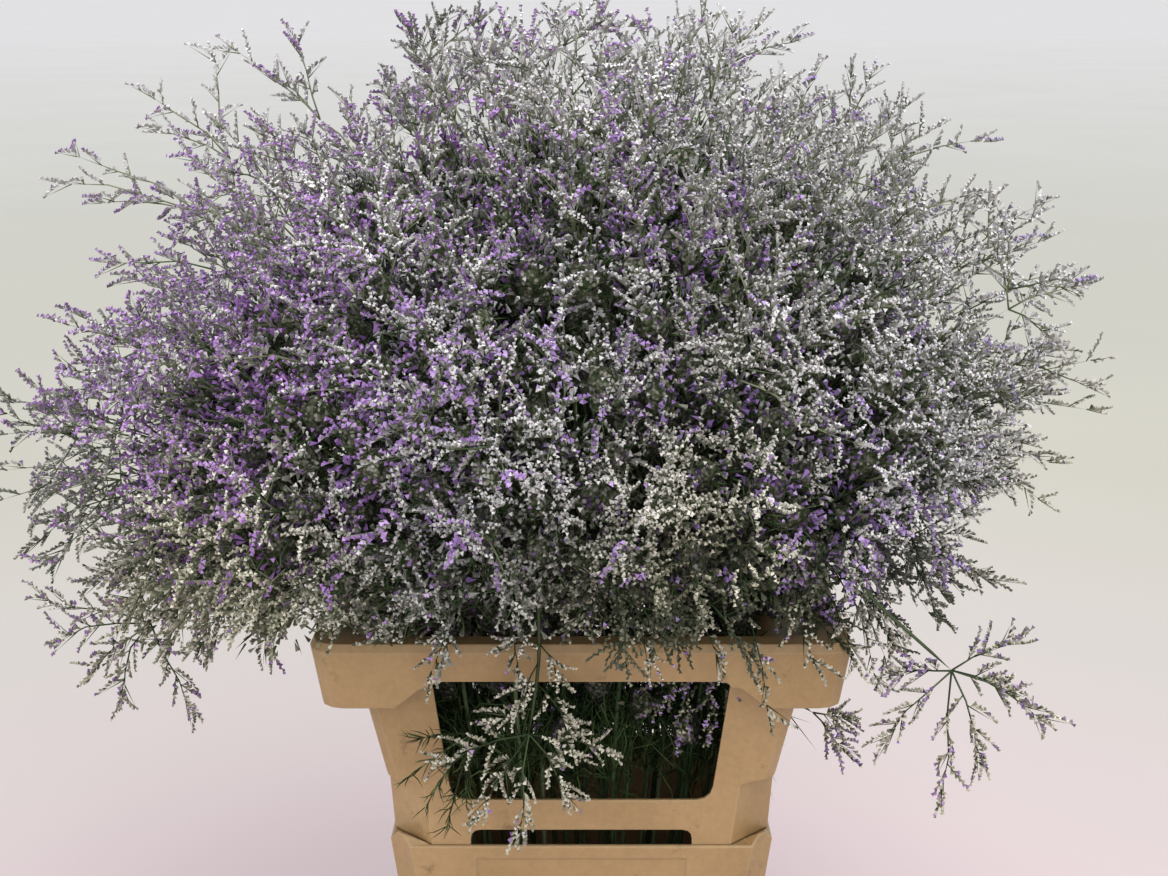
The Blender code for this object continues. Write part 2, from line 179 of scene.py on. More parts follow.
DROOPS = (
    ((-0.085, -0.15, 0.515), (-0.108, -0.17, 0.462)),
    ((-0.05, -0.15, 0.51), (-0.044, -0.17, 0.462)),
    ((0.03, -0.15, 0.515), (0.05, -0.172, 0.476)),
    ((0.075, -0.15, 0.52), (0.098, -0.17, 0.474)),
    ((0.116, -0.145, 0.52), (0.134, -0.17, 0.436)),
    ((0.14, -0.145, 0.52), (0.168, -0.165, 0.468)),
    ((0.185, -0.115, 0.525), (0.226, -0.125, 0.456)),
    ((0.175, -0.12, 0.515), (0.196, -0.166, 0.47)),
    ((0.205, -0.07, 0.52), (0.238, -0.07, 0.452)),
    ((-0.245, -0.06, 0.53), (-0.286, -0.06, 0.446)),
    ((0.19, -0.1, 0.525), (0.214, -0.148, 0.452)),
    ((0.195, -0.08, 0.53), (0.236, -0.11, 0.47)),
    ((0.215, -0.04, 0.53), (0.272, -0.05, 0.466)),
    ((0.225, -0.03, 0.545), (0.296, -0.04, 0.498)),
)

# Loose twigs past the edge of the mass: where each one forks, and its tips

OUTER_TWIGS = (
    ((-0.28, -0.06, 0.545),
     ((-0.334, -0.06, 0.465), (-0.318, -0.06, 0.49))),
    ((-0.255, -0.06, 0.513),
     ((-0.284, -0.06, 0.448), (-0.242, -0.06, 0.44), (-0.327, -0.06, 0.448))),
    ((-0.366, 0.0, 0.561),
     ((-0.433, 0.0, 0.511), (-0.457, 0.0, 0.569), (-0.418, 0.0, 0.494), (-0.463, 0.0, 0.544))),
    ((-0.366, 0.0, 0.6),
     ((-0.45, 0.0, 0.626), (-0.458, 0.0, 0.598), (-0.43, 0.0, 0.64))),
    ((-0.277, 0.05, 0.809),
     ((-0.331, 0.05, 0.832), (-0.338, 0.05, 0.859), (-0.285, 0.05, 0.886))),
    ((-0.3, 0.03, 0.77),
     ((-0.399, 0.05, 0.812), (-0.382, 0.05, 0.775), (-0.41, 0.05, 0.79))),
    ((-0.205, 0.05, 0.84),
     ((-0.27, 0.05, 0.894), (-0.222, 0.05, 0.898), (-0.24, 0.05, 0.87))),
    ((0.236, 0.05, 0.801),
     ((0.274, 0.05, 0.832), (0.31, 0.05, 0.824), (0.253, 0.05, 0.851))),
    ((0.27, 0.0, 0.713),
     ((0.314, 0.0, 0.752), (0.351, 0.0, 0.779), (0.357, 0.0, 0.752), (0.298, 0.0, 0.771))),
    ((0.297, 0.0, 0.626),
     ((0.367, 0.0, 0.642), (0.4, 0.0, 0.658), (0.399, 0.0, 0.618), (0.351, 0.0, 0.713))),
    ((0.297, 0.0, 0.59),
     ((0.365, 0.0, 0.544), (0.34, 0.0, 0.561), (0.372, 0.0, 0.575))),
    ((0.237, -0.1, 0.541),
     ((0.276, -0.1, 0.51), (0.306, -0.1, 0.51), (0.265, -0.1, 0.486))),
    ((-0.118, 0.05, 0.886),
     ((-0.109, 0.05, 0.914), (-0.078, 0.05, 0.916), (-0.133, 0.05, 0.908))),
    ((-0.017, 0.05, 0.895),
     ((0.014, 0.05, 0.914), (0.038, 0.05, 0.912), (-0.02, 0.05, 0.916))),
    ((0.2, -0.06, 0.5),
     ((0.235, -0.06, 0.47), (0.262, -0.06, 0.5), (0.245, -0.06, 0.442))),
    ((0.236, -0.05, 0.53),
     ((0.29, -0.05, 0.532), (0.306, -0.05, 0.5), (0.28, -0.05, 0.484))),
    ((0.15, -0.085, 0.492),
     ((0.182, -0.118, 0.496), (0.194, -0.084, 0.51), (0.16, -0.12, 0.516))),
    ((0.16, -0.04, 0.496),
     ((0.202, -0.052, 0.506), (0.206, -0.02, 0.514), (0.188, -0.066, 0.524))),
    ((0.16, 0.02, 0.5),
     ((0.202, 0.01, 0.512), (0.206, 0.044, 0.512), (0.19, 0.06, 0.53))),
    ((0.11, 0.05, 0.88),
     ((0.136, 0.05, 0.91), (0.165, 0.05, 0.9))),
    ((0.15, -0.105, 0.502),
     ((0.178, -0.132, 0.496), (0.192, -0.126, 0.488), (0.186, -0.142, 0.478))),
    ((-0.15, -0.092, 0.502),
     ((-0.178, -0.124, 0.494), (-0.16, -0.13, 0.488), (-0.19, -0.106, 0.5))),
    ((-0.11, -0.105, 0.498),
     ((-0.13, -0.136, 0.488), (-0.1, -0.138, 0.486), (-0.15, -0.134, 0.49))),
)

# Feathery green shoots that lean out of the front window, and florets that hang behind its corner

SHOOT_FOOT = (-0.082, -0.112, 0.392)
SHOOT_TIPS = (
    (-0.121, -0.146, 0.402), (-0.127, -0.15, 0.374), (-0.116, -0.152, 0.35),
    (-0.1, -0.152, 0.334), (-0.086, -0.148, 0.35),
)
CORNER_FOOT = (0.088, -0.084, 0.462)
CORNER_TIPS = (
    (0.06, -0.104, 0.414), (0.076, -0.106, 0.394), (0.098, -0.106, 0.398),
    (0.112, -0.102, 0.42),
)

# Zones of the mass as seen from the front: x and z of the middle, and how wide and high

LEFT_BLOOM = (-0.29, 0.70, 0.17, 0.12)
RIGHT_BLOOM = (0.18, 0.55, 0.07, 0.06)
MIDDLE_BLOOM = (-0.06, 0.78, 0.13, 0.10)
FADED_FOOT = (-0.04, 0.50, 0.42, 0.10)
# The next three zones are painted light and shade: a lit patch low on the left, and painted shade
# low in the middle and at the right corner.
LIT_LEFT_FOOT = (-0.25, 0.50, 0.13, 0.08)
SHADED_FOOT = (0.12, 0.48, 0.19, 0.09)
SHADED_CORNER = (0.22, 0.53, 0.09, 0.06)
OPEN_FOOT = (0.12, 0.50, 0.20, 0.09)


def between(low, high, share):
    return tuple(a + (b - a) * share for a, b in zip(low, high))


def squared(spot):
    """Moves a spot of the unit disc to the rounded square that the container has."""
    if spot.length < 1e-9:
        return spot.copy()
    way = spot.normalized()
    return spot * (abs(way.x) ** 4 + abs(way.y) ** 4) ** -0.25


def in_pot(spot, share):
    place = squared(spot)
    half_x, half_y = between(STEM_FOOT_HALF, STEM_MOUTH_HALF, share)
    low = BUCKET_FLOOR + FIT_GAP
    height = low + share * (COLLAR_TOP_Z - MOUTH_BELOW_TOP - low)
    return Vector((place.x * half_x, place.y * half_y, height))


def on_mass(spot):
    """The outside of the mass where the stem at this spot ends."""
    radius = spot.length
    turn = math.atan2(spot.y, spot.x)
    side = FALL_RIGHT if spot.x > 0 else FALL_LEFT
    fall = side * math.cos(turn) ** 2 + FALL_DEPTH * math.sin(turn) ** 2
    rise = max(1 - (1 - math.cos(math.radians(fall))) * radius ** 2, -0.98)
    flat = math.sqrt(1 - rise ** 2)
    way = Vector((flat * math.cos(turn), flat * math.sin(turn), rise))
    size = sum(abs(c) ** MASS_SQUARENESS for c in way) ** (-1 / MASS_SQUARENESS)
    half = Vector((
        MASS_RIGHT if way.x > 0 else MASS_LEFT,
        MASS_DEPTH,
        MASS_UP if way.z > 0 else MASS_DOWN,
    ))
    from_middle = size * way * half
    if way.x > 0 and way.z < 0:
        from_middle.x *= 1 + TUCK_RIGHT * way.z
    if way.z > 0:
        from_middle.x *= 1 - (TUCK_RIGHT_TOP if way.x > 0 else TUCK_LEFT_TOP) * way.z
    from_middle.z += SLANT * from_middle.x
    return MASS_MIDDLE + from_middle


def flow(spot, share):
    """From the bucket's floor at 0, through the mouth at 1, to the mass's outside at 2."""
    if share <= 1:
        return in_pot(spot, share)
    mouth, end = in_pot(spot, 1), on_mass(spot)
    weight = min(spot.length_squared, 1.1)
    over = (end - mouth) * 0.2
    over.z = 0.5 * (end.z - mouth.z) * (1 - weight) + 0.17 * weight
    knee = mouth + over
    t = share - 1
    return mouth * (1 - t) ** 2 + knee * 2 * t * (1 - t) + end * t ** 2


def heading(turn):
    return Vector((math.cos(turn), math.sin(turn)))


def spots():
    """Seats of the sprays, spread evenly over the unit disc."""
    return [heading(i * GOLDEN_ANGLE) * math.sqrt((i + 0.5) / SPRAYS) for i in range(SPRAYS)]


def reach(seats, index, turn):
    """How far a spray may spread on the disc in one direction before its neighbour's share."""
    seat = seats[index]
    way = heading(turn)
    room = WIDEST_REACH
    for other in seats:
        apart = other - seat
        toward = way.dot(apart)
        if toward > 1e-9:
            room = min(room, 0.5 * apart.length_squared / toward)
    along = seat.dot(way)
    room = min(room, -along + math.sqrt(along ** 2 + 1.05 - seat.length_squared))
    return max(room - CELL_MARGIN, 0.02)


def icosahedron():
    """Points and faces on the unit sphere, with one face flat at the bottom."""
    ball = bmesh.new()
    bmesh.ops.create_icosphere(ball, subdivisions=1, radius=1)
    ball.faces.ensure_lookup_table()
    turn = ball.faces[0].normal.rotation_difference(Vector((0, 0, -1)))
    points = [turn @ v.co for v in ball.verts]
    faces = [tuple(v.index for v in f.verts) for f in ball.faces]
    ball.free()
    return points, faces


def plan_spray(index, seats):
    """Where this spray's forks and tips lie. Each stays in the spray's own part of the mass."""
    rng = random.Random(SEED + index)
    seat = seats[index]
    length = rng.uniform(*LENGTHS)

    def place(turn, out, share):
        """A place by its heading, how far out it is (0 at the stem, 1 at the edge), its share."""
        return flow(seat + heading(turn) * reach(seats, index, turn) * out, share)

    ball, faces = icosahedron()
    for _ in ball:
        rng.random()  # one draw that the part's source spends on each point of the core

    ways = [sum((ball[i] for i in corners), Vector()) / 3 for corners in faces]
    ways.sort(key=lambda way: -way.z)
    branches = [
        plan_branch(way, k % 3 == 1, length, place, rng) for k, way in enumerate(ways[:BRANCHES])
    ]
    sides = sorted(ways[BRANCHES:-1], key=lambda way: -way.xy.dot(seat))
    low_spikes = [
        place(math.atan2(way.y, way.x), 0.86, CORE_SHARE + rng.uniform(-0.20, 0.02))
        for way in sides[:LOW_SPIKES]
    ]
    for _ in sides[LOW_SPIKES:]:
        rng.random()  # and one on each tuft of the core

    spin = rng.uniform(0, math.tau)
    mouth_tips = [
        place(spin + k * math.tau / 3, 0.76, MOUTH_SHARE + rng.uniform(0.05, 0.11))
        for k in range(3)
    ]
    leaf_tips = []
    for k in range(6):
        turn = spin + k * math.tau / 6 + rng.uniform(-0.3, 0.3)
        leaf_tips.append(place(turn, 0.84, LEAF_SHARE + rng.uniform(-0.02, 0.05)))
    return SimpleNamespace(
        seat=seat, place=place, branches=branches, low_spikes=low_spikes,
        mouth_tips=mouth_tips, leaf_tips=leaf_tips,
    )


def plan_branch(way, short, length, place, rng):
    """A branch's fork and the tips of its three spikes. Short ones cover the spray's flank."""
    central = way.z > 0.7
    turn = math.atan2(way.y, way.x) + rng.uniform(-0.25, 0.25)
    out = 0.08 if central else rng.uniform(0.64, 0.76) if short else rng.uniform(0.42, 0.68)
    share = 1 + length * (rng.uniform(0.62, 0.72) if short else rng.uniform(0.78, 0.92))
    tips = []
    for k in (-1, 0, 1):
        swing = turn + k * (2.1 if central else 0.55) + rng.uniform(-0.15, 0.15)
        spread = rng.uniform(0.30, 0.42) if central else out + rng.uniform(0.02, 0.18)
        rise = 0.11 if k == 0 else rng.uniform(0.03, 0.09)
        tips.append(place(swing, spread, share + rise))
    return place(turn, out, share), tips


# Growth of fine parts: each is a small closed body with a slot, a tint and its own map cell

MAP_MARGIN = 0.18
# The tangle slot colours the clumps dark, as painted shade in the depth of the mass.
SLOTS = ("stalk", "calyx", "bract", "petal", "leaf", "tangle")
STALK, CALYX, BRACT, PETAL, LEAF, SHADED_TANGLE = range(6)


def unit(v):
    return v / np.maximum(np.linalg.norm(v, axis=-1, keepdims=True), 1e-12)


def reference_axis(ways, steepest):
    """Z for each way that leans, and X for one that nearly stands."""
    return np.where(np.abs(ways[:, 2:3]) < steepest, [[0, 0, 1.0]], [[1.0, 0, 0]])


def crosswise(along, toward):
    """The part of toward that is square to along, at length 1."""
    return unit(toward - along * np.sum(along * toward, axis=-1, keepdims=True))


class Growth:
    def __init__(self, seed):
        self.rng = np.random.default_rng(seed)
        self.points, self.faces, self.slots = [], [], []
        self.tints, self.hues, self.cells = [], [], []
        self.count = self.elements = 0
        self.twigs = []

    def add(self, points, faces, slot, tint, hue=None, apart=False, cap=None):
        """Adds copies of one small body: points (copies, corners, 3) and faces (faces, 3).

        Each copy has one tint and one cell of the map, or one for each of its faces if apart.
        With a cap tint, its last face has that tint and a cell of its own.
        """
        copies, corners = points.shape[:2]
        if not copies:
            return
        offset = self.count + corners * np.arange(copies)
        self.points.append(points.reshape(-1, 3))
        self.faces.append((faces[None] + offset[:, None, None]).reshape(-1, 3))
        each = len(faces)
        cells = copies * each if apart else copies
        same = 1 if apart else each
        self.slots.append(np.full(copies * each, slot))
        tints = np.repeat(tint, same).astype(float)
        places = np.repeat(self.elements + np.arange(cells), same)
        if cap is not None:
            tints[each - 1 :: each] = cap
            places[each - 1 :: each] += cells
        self.tints.append(tints)
        self.hues.append(np.repeat(np.zeros(cells) if hue is None else hue, same))
        self.cells.append(places)
        self.count += copies * corners
        self.elements += cells * (1 if cap is None else 2)

    def tubes(self, paths, radii, slot, tint=None, sides=3):
        """Tapered closed tubes along paths (copies, places, 3), each ending in a point."""
        paths = np.asarray(paths, float)
        if not len(paths):
            return
        copies, places = paths.shape[:2]
        along = unit(np.gradient(paths, axis=1))
        whole = unit(paths[:, -1] - paths[:, 0])
        reference = reference_axis(whole, 0.8)[:, None]
        first = unit(np.cross(along, np.broadcast_to(reference, along.shape)))
        second = np.cross(along, first)
        radii = np.broadcast_to(np.asarray(radii, float), (copies, places))
        rings = []
        for k in range(sides):
            angle = k * math.tau / sides
            spoke = first * math.cos(angle) + second * math.sin(angle)
            rings.append(paths + spoke * radii[..., None])
        rings = np.stack(rings, axis=2)[:, :-1]
        points = np.concatenate([rings.reshape(copies, -1, 3), paths[:, -1:]], axis=1)
        faces = [(0, k + 1, k) for k in range(1, sides - 1)]
        for row in range(places - 2):
            low, high = row * sides, (row + 1) * sides
            for k in range(sides):
                n = (k + 1) % sides
                faces += [(low + k, low + n, high + n), (low + k, high + n, high + k)]
        low, tip = (places - 2) * sides, (places - 1) * sides
        faces += [(low + k, low + (k + 1) % sides, tip) for k in range(sides)]
        if tint is None:
            tint = green_tint(self.rng, paths[:, -1])
        self.add(points, np.array(faces), slot, tint)

    def spikelet(self, start, way, up, length, bloom, hue, pale):
        self.twigs.append((start, way, up, length, bloom, hue, pale))

    def grow_spikelets(self):
        """Small arched twigs with a comb of florets on their upper side."""
        start, way, up, length, bloom, hue, pale = (np.array(each) for each in zip(*self.twigs))
        rng, n = self.rng, len(start)
        way = unit(way)
        up = crosswise(way, up + rng.normal(0, 0.35, (n, 3)))
        across = np.cross(way, up)
        arch = rng.uniform(-0.30, 0.15, n)[:, None] * length[:, None]
        bend = rng.normal(0, 0.14, n)[:, None] * length[:, None]
        knee = start + way * length[:, None] * 0.5 - up * arch * 0.5
        end = start + way * length[:, None] + up * arch + across * bend

        def at(t):
            t = t[..., None]
            a, b, c = start[:, None], knee[:, None], end[:, None]
            return a * (1 - t) ** 2 + b * 2 * t * (1 - t) + c * t ** 2

        self.tubes(np.stack([start, end], axis=1), SPIKELET_RADII, STALK)

        shape = (n, MOST_FLORETS)
        counts = np.round(length / FLORET_STEP)
        counts = np.clip(counts, FEWEST_FLORETS, MOST_FLORETS).astype(int)
        order = np.arange(MOST_FLORETS)[None] + np.zeros((n, 1))
        t = 0.10 + 0.90 * (order + rng.uniform(-0.2, 0.2, shape)) / (counts[:, None] - 1)
        used = order < counts[:, None]
        t = np.clip(t, 0.04, 1.0)
        place = at(t)
        along = unit(at(np.clip(t + 0.05, 0, 1.05)) - at(t - 0.05))
        lean = np.where(order % 2 > 0, 1, -1) * 0.36 + rng.normal(0, 0.16, shape)
        open_ = rng.uniform(0.75, 1.15, shape) * (1 - 0.6 * t)
        side = up[:, None] * np.cos(lean)[..., None] + across[:, None] * np.sin(lean)[..., None]
        axis = unit(along * np.cos(open_)[..., None] + side * np.sin(open_)[..., None])
        flowering = rng.uniform(0, 1, shape) < bloom[:, None] * (0.5 + 0.7 * t)
        shade = np.clip(pale[:, None] + rng.normal(0, 0.17, shape), 0, 1)
        hues = np.clip(hue[:, None] + rng.normal(0, 0.12, shape), 0, 1)
        size = rng.uniform(0.86, 1.14, shape) * (1 - 0.25 * t)
        self.florets(*(each[used] for each in (place, axis, size, flowering, shade, hues)))

    def crumbs(self, place, axis, bloom, hue):
        """Small plain florets: violet where the spray blooms, else a dim calyx or a green bract."""
        rng, n = self.rng, len(place)
        kind = rng.uniform(0, 1, n)
        violet = kind < 0.03 + 0.75 * bloom
        green = kind > 0.72
        shaped = self.shaper(place, axis, rng.uniform(0.9, 1.5, n))
        # Each small floret's shade is a random tone plus painted light and shade by place: paler at
        # the top, darker below.
        shade = np.clip(rng.normal(0.36, 0.22, n) + painted_light_and_shade(place), 0, 1)
        kinds = (
            (PETAL, violet, CRUMB_POINTS, hue),
            (LEAF, green & ~violet, NEEDLE_POINTS, hue),
            (CALYX, ~green & ~violet, CRUMB_POINTS, creamy(place)),
        )
        for slot, chosen, template, hues in kinds:
            pick = np.flatnonzero(chosen)
            tint = shade[pick] if slot == CALYX else rng.uniform(0, 1, len(pick))
            self.add(shaped(template, pick), SPIKE, slot, tint * 0.5, hues[pick], cap=tint)

    def shaper(self, place, axis, size):
        """Gives a function that stands a template in millimetres on the picked places."""
        spin = self.rng.uniform(0, math.tau, len(place))
        first = unit(np.cross(axis, reference_axis(axis, 0.9)))
        second = np.cross(axis, first)
        cosine, sine = np.cos(spin)[:, None], np.sin(spin)[:, None]
        first, second = first * cosine + second * sine, second * cosine - first * sine

        def shaped(template, pick):
            local = np.array(template) * size[pick][:, None, None] * 0.001
            return (
                place[pick][:, None]
                + local[..., :1] * first[pick][:, None]
                + local[..., 1:2] * second[pick][:, None]
                + local[..., 2:] * axis[pick][:, None]
            )

        return shaped

    def florets(self, place, axis, size, flowering, shade, hue):
        rng, n = self.rng, len(place)
        shaped = self.shaper(place, axis, size)
        every = np.arange(n)
        pick = every[rng.uniform(0, 1, n) < BRACT_CHANCE]
        self.add(shaped(BRACT_POINTS, pick), SPIKE, BRACT, green_tint(rng, place[pick]))
        dim = shade * rng.uniform(0.25, 0.95, n)
        self.add(shaped(CALYX_POINTS, every), SPIKE, CALYX, dim, creamy(place), cap=shade)
        pick = every[flowering]
        tint = rng.uniform(0, 1, len(pick))
        self.add(shaped(PETAL_POINTS, pick), SPIKE, PETAL, tint * 0.5, hue[pick], cap=tint)

    def made(self, name, replaced):
        """Turns the growth into a piece that stands for a node of the frame."""
        self.grow_spikelets()
        points, faces = np.concatenate(self.points), np.concatenate(self.faces)
        slots, cells = np.concatenate(self.slots), np.concatenate(self.cells)
        mesh = bpy.data.meshes.new(name)
        mesh.vertices.add(len(points))
        mesh.vertices.foreach_set("co", points.astype(np.float32).ravel())
        mesh.loops.add(faces.size)
        mesh.loops.foreach_set("vertex_index", faces.astype(np.int32).ravel())
        mesh.polygons.add(len(faces))
        mesh.polygons.foreach_set("loop_start", np.arange(0, faces.size, 3, dtype=np.int32))
        for slot in SLOTS:
            mesh.materials.append(MATERIALS[slot])
        mesh.polygons.foreach_set("material_index", slots.astype(np.int32))
        mesh.polygons.foreach_set("use_smooth", (slots == STALK) | (slots == LEAF))
        for key, values in (("tint", self.tints), ("hue", self.hues)):
            layer = mesh.attributes.new(key, "FLOAT", "FACE")
            layer.data.foreach_set("value", np.concatenate(values).astype(np.float32))
        across = math.ceil(math.sqrt(self.elements))
        corner = np.stack([cells % across, cells // across], axis=1)[:, None] + MAP_MARGIN
        side = 1 - 2 * MAP_MARGIN
        uv = (corner + np.array([[0, 0], [side, 0], [0, side]])) / across
        layer = mesh.uv_layers.new(name="OFBake")
        layer.data.foreach_set("uv", uv.astype(np.float32).ravel())
        mesh.update()
        piece = bpy.data.objects.new(name, mesh)
        bpy.context.scene.collection.objects.link(piece)
        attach(piece, "root")
        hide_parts(replaced)


# Templates in millimetres, standing on the origin and facing +Z

def ring(radius, height, turn=0.0):
    angles = [turn + k * math.tau / 3 for k in range(3)]
    return [(radius * math.cos(angle), radius * math.sin(angle), height) for angle in angles]


SPIKE = np.array([(0, 2, 1), (0, 3, 2), (0, 1, 3), (1, 2, 3)])
BRACT_POINTS = [(0, 0, -1.2), *ring(1.5, 3.2)]
CRUMB_POINTS = [(0, 0, -1.0), *ring(1.5, 4.2, 0.5)]
NEEDLE_POINTS = [(0, 0, 11.0), (0.8, 0, -1), (-0.4, -0.7, -1), (-0.4, 0.7, -1)]
CALYX_POINTS = [(0, 0, -0.6), (1.8, 0.2, 4.9), (-1.0, 1.4, 4.0), (-0.8, -1.4, 4.5)]
PETAL_POINTS = [(0, 0, 1.4), (2.3, 0.3, 5.4), (-1.1, 2.0, 5.0), (-1.3, -1.9, 5.2)]


# Materials

def new_material(name, values):
    material = bpy.data.materials.new(name)
    material.use_nodes = True
    tree = material.node_tree
    shader = tree.nodes["Principled BSDF"]
    for key, value in values.items():
        shader.inputs[key].default_value = value
    return material, tree, shader


def gray(value):
    return (value,) * 3


def node(tree, kind, links=None, **values):
    """Adds a node, sets its properties and default values, and links its inputs."""
    made = tree.nodes.new("ShaderNode" + kind)
    for key, value in values.items():
        setattr(made, key, value)
    for key, value in (links or {}).items():
        socket = made.inputs[key]
        if isinstance(value, bpy.types.NodeSocket):
            tree.links.new(value, socket)
        else:
            socket.default_value = value
    return made


def ramp(tree, factor, stops):
    made = node(tree, "ValToRGB", {"Fac": factor})
    while len(made.color_ramp.elements) < len(stops):
        made.color_ramp.elements.new(0.5)
    for element, (position, color) in zip(made.color_ramp.elements, stops):
        element.position = position
        element.color = (*color, 1)
    return made.outputs["Color"]


def mixed(tree, factor, a, b, blend="MIX"):
    made = node(tree, "Mix", data_type="RGBA", blend_type=blend)
    for socket, value in ((made.inputs[0], factor), (made.inputs[6], a), (made.inputs[7], b)):
        if isinstance(value, bpy.types.NodeSocket):
            tree.links.new(value, socket)
        else:
            socket.default_value = value if isinstance(value, float) else (*value, 1)
    return made.outputs[2]


def multiplied(tree, a, b):
    return mixed(tree, 1.0, a, b, "MULTIPLY")


def remap(tree, value, low, high, to_low=0.0, to_high=1.0):
    """Maps low to high onto another range, and stops at its ends."""
    links = {
        "Value": value, "From Min": low, "From Max": high, "To Min": to_low, "To Max": to_high,
    }
    return node(tree, "MapRange", links).outputs["Result"]


def object_place(tree):
    return node(tree, "TexCoord").outputs["Object"]


def noise(tree, scale, detail=3.0, rough=0.55, place=None):
    place = object_place(tree) if place is None else place
    links = {"Vector": place, "Scale": scale, "Detail": detail, "Roughness": rough}
    return node(tree, "TexNoise", links).outputs["Fac"]


def attribute(tree, name):
    return node(tree, "Attribute", attribute_name=name).outputs["Fac"]


def plant_material(name, stops, roughness, patch_scale, patch_shade, hues=None):
    """A dry plant surface: its own tint for each element, and soft patches over the whole mass."""
    values = {"Roughness": roughness, "Specular IOR Level": 0.25}
    material, tree, shader = new_material(name, values)
    # The tint attribute carries painted light and shade as well as each element's own tone: paler
    # toward the top, darker below.
    color = ramp(tree, attribute(tree, "tint"), stops)
    if hues:
        other = ramp(tree, attribute(tree, "tint"), hues)
        color = mixed(tree, attribute(tree, "hue"), color, other)
    patch = ramp(tree, noise(tree, patch_scale), [(0.3, gray(patch_shade)), (0.7, gray(1))])
    tree.links.new(multiplied(tree, color, patch), shader.inputs["Base Color"])
    return material


def shaded_tangle_material():
    """The depth of a spray in painted shade, speckled as by florets a few millimetres apart."""
    values = {"Roughness": 0.95, "Specular IOR Level": 0.1}
    material, tree, shader = new_material("statice_shaded_tangle", values)
    cell = node(tree, "TexVoronoi", {"Vector": object_place(tree), "Scale": 430})
    kind = node(tree, "SeparateColor", {"Color": cell.outputs["Color"]})
    speckle = ramp(tree, kind.outputs["Red"], [
        (0.0, (0.024, 0.038, 0.016)),
        (0.35, (0.065, 0.088, 0.040)),
        (0.62, (0.130, 0.132, 0.090)),
        (0.82, (0.230, 0.220, 0.180)),
        (1.0, (0.400, 0.385, 0.350)),
    ])
    violet = ramp(tree, kind.outputs["Green"], [
        (0.0, (0.045, 0.028, 0.065)),
        (0.6, (0.150, 0.080, 0.210)),
        (1.0, (0.360, 0.230, 0.470)),
    ])
    share = remap(tree, noise(tree, 45, 2), 0.50, 0.70, to_high=0.50)
    bloom = node(tree, "Math", {0: kind.outputs["Blue"], 1: share}, operation="LESS_THAN")
    color = mixed(tree, bloom.outputs[0], speckle, violet)
    # Painted shade: each speckle darkens toward its rim, as between florets that shade each other.
    painted_rim_shade = ramp(tree, cell.outputs["Distance"], [
        (0.0, gray(1)),
        (0.45, gray(0.9)),
        (0.85, gray(0.3)),
    ])
    # The tint adds painted light and shade by height to all of it.
    shade = ramp(tree, attribute(tree, "tint"), [(0.0, gray(0.35)), (1.0, gray(1))])
    color = multiplied(tree, multiplied(tree, color, painted_rim_shade), shade)
    tree.links.new(color, shader.inputs["Base Color"])
    return material


def make_materials():
    return {
        "stalk": plant_material("statice_stalk", [
            (0.0, (0.030, 0.055, 0.020)),
            (0.5, (0.100, 0.142, 0.062)),
            (1.0, (0.235, 0.265, 0.150)),
        ], 0.75, 14, 0.6),
        "calyx": plant_material("statice_calyx", [
            (0.0, (0.085, 0.088, 0.076)),
            (0.25, (0.27, 0.262, 0.255)),
            (0.6, (0.57, 0.548, 0.555)),
            (1.0, (0.80, 0.785, 0.79)),
        ], 0.85, 9, 0.75, hues=[
            (0.0, (0.062, 0.066, 0.040)),
            (0.25, (0.21, 0.205, 0.142)),
            (0.6, (0.53, 0.50, 0.39)),
            (1.0, (0.78, 0.75, 0.64)),
        ]),
        "bract": plant_material("statice_bract", [
            (0.0, (0.040, 0.056, 0.028)),
            (0.5, (0.125, 0.138, 0.082)),
            (1.0, (0.290, 0.280, 0.215)),
        ], 0.8, 20, 0.6),
        "petal": plant_material("statice_petal", [
            (0.0, (0.160, 0.070, 0.225)),
            (0.4, (0.31, 0.150, 0.42)),
            (1.0, (0.56, 0.35, 0.68)),
        ], 0.75, 16, 0.8, hues=[
            (0.0, (0.125, 0.095, 0.22)),
            (0.4, (0.23, 0.190, 0.38)),
            (1.0, (0.42, 0.38, 0.60)),
        ]),
        "tangle": shaded_tangle_material(),
        "leaf": plant_material("statice_leaf", [
            (0.0, (0.022, 0.050, 0.012)),
            (0.5, (0.062, 0.110, 0.028)),
            (1.0, (0.200, 0.250, 0.090)),
        ], 0.65, 25, 0.55),
    }


